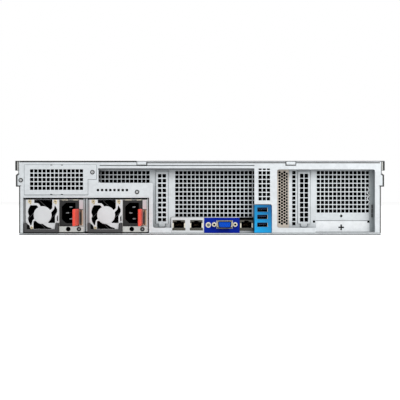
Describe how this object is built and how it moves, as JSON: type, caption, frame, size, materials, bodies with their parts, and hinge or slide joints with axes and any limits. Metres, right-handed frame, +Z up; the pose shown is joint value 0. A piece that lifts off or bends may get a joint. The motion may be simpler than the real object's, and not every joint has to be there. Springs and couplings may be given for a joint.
{
  "type": "2u rack server",
  "caption": "Two-unit rack server with perforated rear panels, plug-in power supplies, a lift-off cover, cooling fans and hot-swap drive carriers.",
  "frame": {"origin": "centre of the bounding box's underside, on the surface that the server stands on", "axes": "+Z up; -Y is the rear with ports and power supplies; +Y is the front with the drives and rack ears; +X is to the right seen from behind"},
  "size_m": [0.4826, 0.783, 0.0875],
  "materials": {
    "galvanised_steel": "zinc-coated sheet, fine matt grain",
    "cover_steel": "zinc-coated sheet",
    "shaded_steel": "zinc-coated sheet",
    "supply_steel": "bright sheet steel",
    "guard_steel": "plated pressed steel",
    "copper_screen": "copper-coloured gasket mesh",
    "black_plastic": "moulded, fine texture",
    "dark_grey_plastic": "moulded",
    "red_plastic": "moulded",
    "light_blue_plastic": "moulded",
    "blue_label": "printed film",
    "jack_shell": "plated shell",
    "display_shell": "plated shell",
    "circuit_board": "solder mask",
    "aluminium_fins": "extruded",
    "ear_metal": "anodised",
    "screw_steel": "plated",
    "grey_button": "moulded",
    "carrier_plastic": "moulded"
  },
  "bodies": {
    "chassis": {"chassis_tray": "galvanised_steel", "rear_panel": "galvanised_steel", "rear_bay_cover": "galvanised_steel", "front_cover": "cover_steel", "riser_cage_left": "shaded_steel", "riser_cage_right": "shaded_steel", "slot_blanks": "shaded_steel", "vent_screen": "copper_screen", "psu_cage": "galvanised_steel", "network_jacks": "jack_shell", "io_shield": "shaded_steel", "port_labels": "blue_label", "vga_connector": "display_shell", "usb_stack": "light_blue_plastic", "panel_screws": "screw_steel", "motherboard": "circuit_board", "heat_sinks": "aluminium_fins", "memory_modules": "circuit_board", "air_shroud": "black_plastic", "fan_frames": "black_plastic", "drive_cage": "galvanised_steel", "backplane": "circuit_board", "rack_ears": "ear_metal", "rail_studs": "screw_steel"},
    "cover": {"top_cover": "cover_steel"},
    "cover_latch": {"cover_latch": "dark_grey_plastic"},
    "uid_button": {"uid_button": "grey_button"},
    "power_button": {"power_button": "grey_button"},
    "fan_rotor_1": {"fan_rotor_1": "black_plastic"},
    "fan_rotor_2": {"fan_rotor_2": "black_plastic"},
    "fan_rotor_3": {"fan_rotor_3": "black_plastic"},
    "fan_rotor_4": {"fan_rotor_4": "black_plastic"},
    "psu_1": {"psu_1_case": "supply_steel", "psu_1_fan_guard": "guard_steel", "psu_1_inlet": "dark_grey_plastic"},
    "psu_1_rotor": {"psu_1_fan_rotor": "black_plastic"},
    "psu_1_latch": {"psu_1_latch": "red_plastic"},
    "psu_1_handle": {"psu_1_handle": "dark_grey_plastic"},
    "psu_2": {"psu_2_case": "supply_steel", "psu_2_fan_guard": "guard_steel", "psu_2_inlet": "dark_grey_plastic"},
    "psu_2_rotor": {"psu_2_fan_rotor": "black_plastic"},
    "psu_2_latch": {"psu_2_latch": "red_plastic"},
    "psu_2_handle": {"psu_2_handle": "dark_grey_plastic"},
    "drive_1": {"drive_carrier_1": "carrier_plastic"},
    "drive_1_lever": {"carrier_lever_1": "dark_grey_plastic"},
    "drive_2": {"drive_carrier_2": "carrier_plastic"},
    "drive_2_lever": {"carrier_lever_2": "dark_grey_plastic"},
    "drive_3": {"drive_carrier_3": "carrier_plastic"},
    "drive_3_lever": {"carrier_lever_3": "dark_grey_plastic"},
    "drive_4": {"drive_carrier_4": "carrier_plastic"},
    "drive_4_lever": {"carrier_lever_4": "dark_grey_plastic"},
    "drive_5": {"drive_carrier_5": "carrier_plastic"},
    "drive_5_lever": {"carrier_lever_5": "dark_grey_plastic"},
    "drive_6": {"drive_carrier_6": "carrier_plastic"},
    "drive_6_lever": {"carrier_lever_6": "dark_grey_plastic"},
    "drive_7": {"drive_carrier_7": "carrier_plastic"},
    "drive_7_lever": {"carrier_lever_7": "dark_grey_plastic"},
    "drive_8": {"drive_carrier_8": "carrier_plastic"},
    "drive_8_lever": {"carrier_lever_8": "dark_grey_plastic"}
  },
  "joints": [
    {"name": "cover_lift", "type": "slide", "parent": "chassis", "child": "cover", "axis": [0, 0, 1], "range_m": [0, 0.12]},
    {"name": "cover_latch_hinge", "type": "hinge", "parent": "cover", "child": "cover_latch", "pos_m": [0, 0.0418, 0.0855], "axis": [1, 0, 0], "range_deg": [-80, 0]},
    {"name": "uid_button_press", "type": "slide", "parent": "chassis", "child": "uid_button", "axis": [0, 1, 0], "range_m": [0, 0.0008], "stiffness_N_per_m": 400, "springref_m": -0.0005},
    {"name": "power_button_press", "type": "slide", "parent": "chassis", "child": "power_button", "axis": [0, -1, 0], "range_m": [0, 0.0008], "stiffness_N_per_m": 500, "springref_m": -0.0005},
    {"name": "fan_rotor_1_spin", "type": "hinge", "parent": "chassis", "child": "fan_rotor_1", "pos_m": [-0.153, 0.113, 0.041], "axis": [0, 1, 0], "continuous": true},
    {"name": "fan_rotor_2_spin", "type": "hinge", "parent": "chassis", "child": "fan_rotor_2", "pos_m": [-0.051, 0.113, 0.041], "axis": [0, 1, 0], "continuous": true},
    {"name": "fan_rotor_3_spin", "type": "hinge", "parent": "chassis", "child": "fan_rotor_3", "pos_m": [0.051, 0.113, 0.041], "axis": [0, 1, 0], "continuous": true},
    {"name": "fan_rotor_4_spin", "type": "hinge", "parent": "chassis", "child": "fan_rotor_4", "pos_m": [0.153, 0.113, 0.041], "axis": [0, 1, 0], "continuous": true},
    {"name": "psu_1_slide", "type": "slide", "parent": "chassis", "child": "psu_1", "axis": [0, -1, 0], "range_m": [0, 0.19]},
    {"name": "psu_1_fan_spin", "type": "hinge", "parent": "psu_1", "child": "psu_1_rotor", "pos_m": [-0.1855, -0.3564, 0.0235], "axis": [0, 1, 0], "continuous": true},
    {"name": "psu_1_latch_press", "type": "hinge", "parent": "psu_1", "child": "psu_1_latch", "pos_m": [-0.14085, -0.3443, 0.0204], "axis": [0, 0, -1], "range_deg": [0, 2.5], "stiffness_Nm_per_rad": 0.6, "springref_deg": -1.15},
    {"name": "psu_1_handle_swing", "type": "hinge", "parent": "psu_1", "child": "psu_1_handle", "pos_m": [-0.1866, -0.3676, 0.0135], "axis": [1, 0, 0], "range_deg": [-90, 0]},
    {"name": "psu_2_slide", "type": "slide", "parent": "chassis", "child": "psu_2", "axis": [0, -1, 0], "range_m": [0, 0.19]},
    {"name": "psu_2_fan_spin", "type": "hinge", "parent": "psu_2", "child": "psu_2_rotor", "pos_m": [-0.1107, -0.3564, 0.0235], "axis": [0, 1, 0], "continuous": true},
    {"name": "psu_2_latch_press", "type": "hinge", "parent": "psu_2", "child": "psu_2_latch", "pos_m": [-0.06605, -0.3443, 0.0204], "axis": [0, 0, -1], "range_deg": [0, 2.5], "stiffness_Nm_per_rad": 0.6, "springref_deg": -1.15},
    {"name": "psu_2_handle_swing", "type": "hinge", "parent": "psu_2", "child": "psu_2_handle", "pos_m": [-0.1118, -0.3676, 0.0135], "axis": [1, 0, 0], "range_deg": [-90, 0]},
    {"name": "drive_1_slide", "type": "slide", "parent": "chassis", "child": "drive_1", "axis": [0, 1, 0], "range_m": [0, 0.17]},
    {"name": "drive_1_lever_swing", "type": "hinge", "parent": "drive_1", "child": "drive_1_lever", "pos_m": [-0.1979, 0.3507, 0.0117], "axis": [0, 0, 1], "range_deg": [0, 55]},
    {"name": "drive_2_slide", "type": "slide", "parent": "chassis", "child": "drive_2", "axis": [0, 1, 0], "range_m": [0, 0.17]},
    {"name": "drive_2_lever_swing", "type": "hinge", "parent": "drive_2", "child": "drive_2_lever", "pos_m": [-0.0923, 0.3507, 0.0117], "axis": [0, 0, 1], "range_deg": [0, 55]},
    {"name": "drive_3_slide", "type": "slide", "parent": "chassis", "child": "drive_3", "axis": [0, 1, 0], "range_m": [0, 0.17]},
    {"name": "drive_3_lever_swing", "type": "hinge", "parent": "drive_3", "child": "drive_3_lever", "pos_m": [0.0133, 0.3507, 0.0117], "axis": [0, 0, 1], "range_deg": [0, 55]},
    {"name": "drive_4_slide", "type": "slide", "parent": "chassis", "child": "drive_4", "axis": [0, 1, 0], "range_m": [0, 0.17]},
    {"name": "drive_4_lever_swing", "type": "hinge", "parent": "drive_4", "child": "drive_4_lever", "pos_m": [0.1189, 0.3507, 0.0117], "axis": [0, 0, 1], "range_deg": [0, 55]},
    {"name": "drive_5_slide", "type": "slide", "parent": "chassis", "child": "drive_5", "axis": [0, 1, 0], "range_m": [0, 0.17]},
    {"name": "drive_5_lever_swing", "type": "hinge", "parent": "drive_5", "child": "drive_5_lever", "pos_m": [-0.1979, 0.3507, 0.0409], "axis": [0, 0, 1], "range_deg": [0, 55]},
    {"name": "drive_6_slide", "type": "slide", "parent": "chassis", "child": "drive_6", "axis": [0, 1, 0], "range_m": [0, 0.17]},
    {"name": "drive_6_lever_swing", "type": "hinge", "parent": "drive_6", "child": "drive_6_lever", "pos_m": [-0.0923, 0.3507, 0.0409], "axis": [0, 0, 1], "range_deg": [0, 55]},
    {"name": "drive_7_slide", "type": "slide", "parent": "chassis", "child": "drive_7", "axis": [0, 1, 0], "range_m": [0, 0.17]},
    {"name": "drive_7_lever_swing", "type": "hinge", "parent": "drive_7", "child": "drive_7_lever", "pos_m": [0.0133, 0.3507, 0.0409], "axis": [0, 0, 1], "range_deg": [0, 55]},
    {"name": "drive_8_slide", "type": "slide", "parent": "chassis", "child": "drive_8", "axis": [0, 1, 0], "range_m": [0, 0.17]},
    {"name": "drive_8_lever_swing", "type": "hinge", "parent": "drive_8", "child": "drive_8_lever", "pos_m": [0.1189, 0.3507, 0.0409], "axis": [0, 0, 1], "range_deg": [0, 55]}
  ]
}
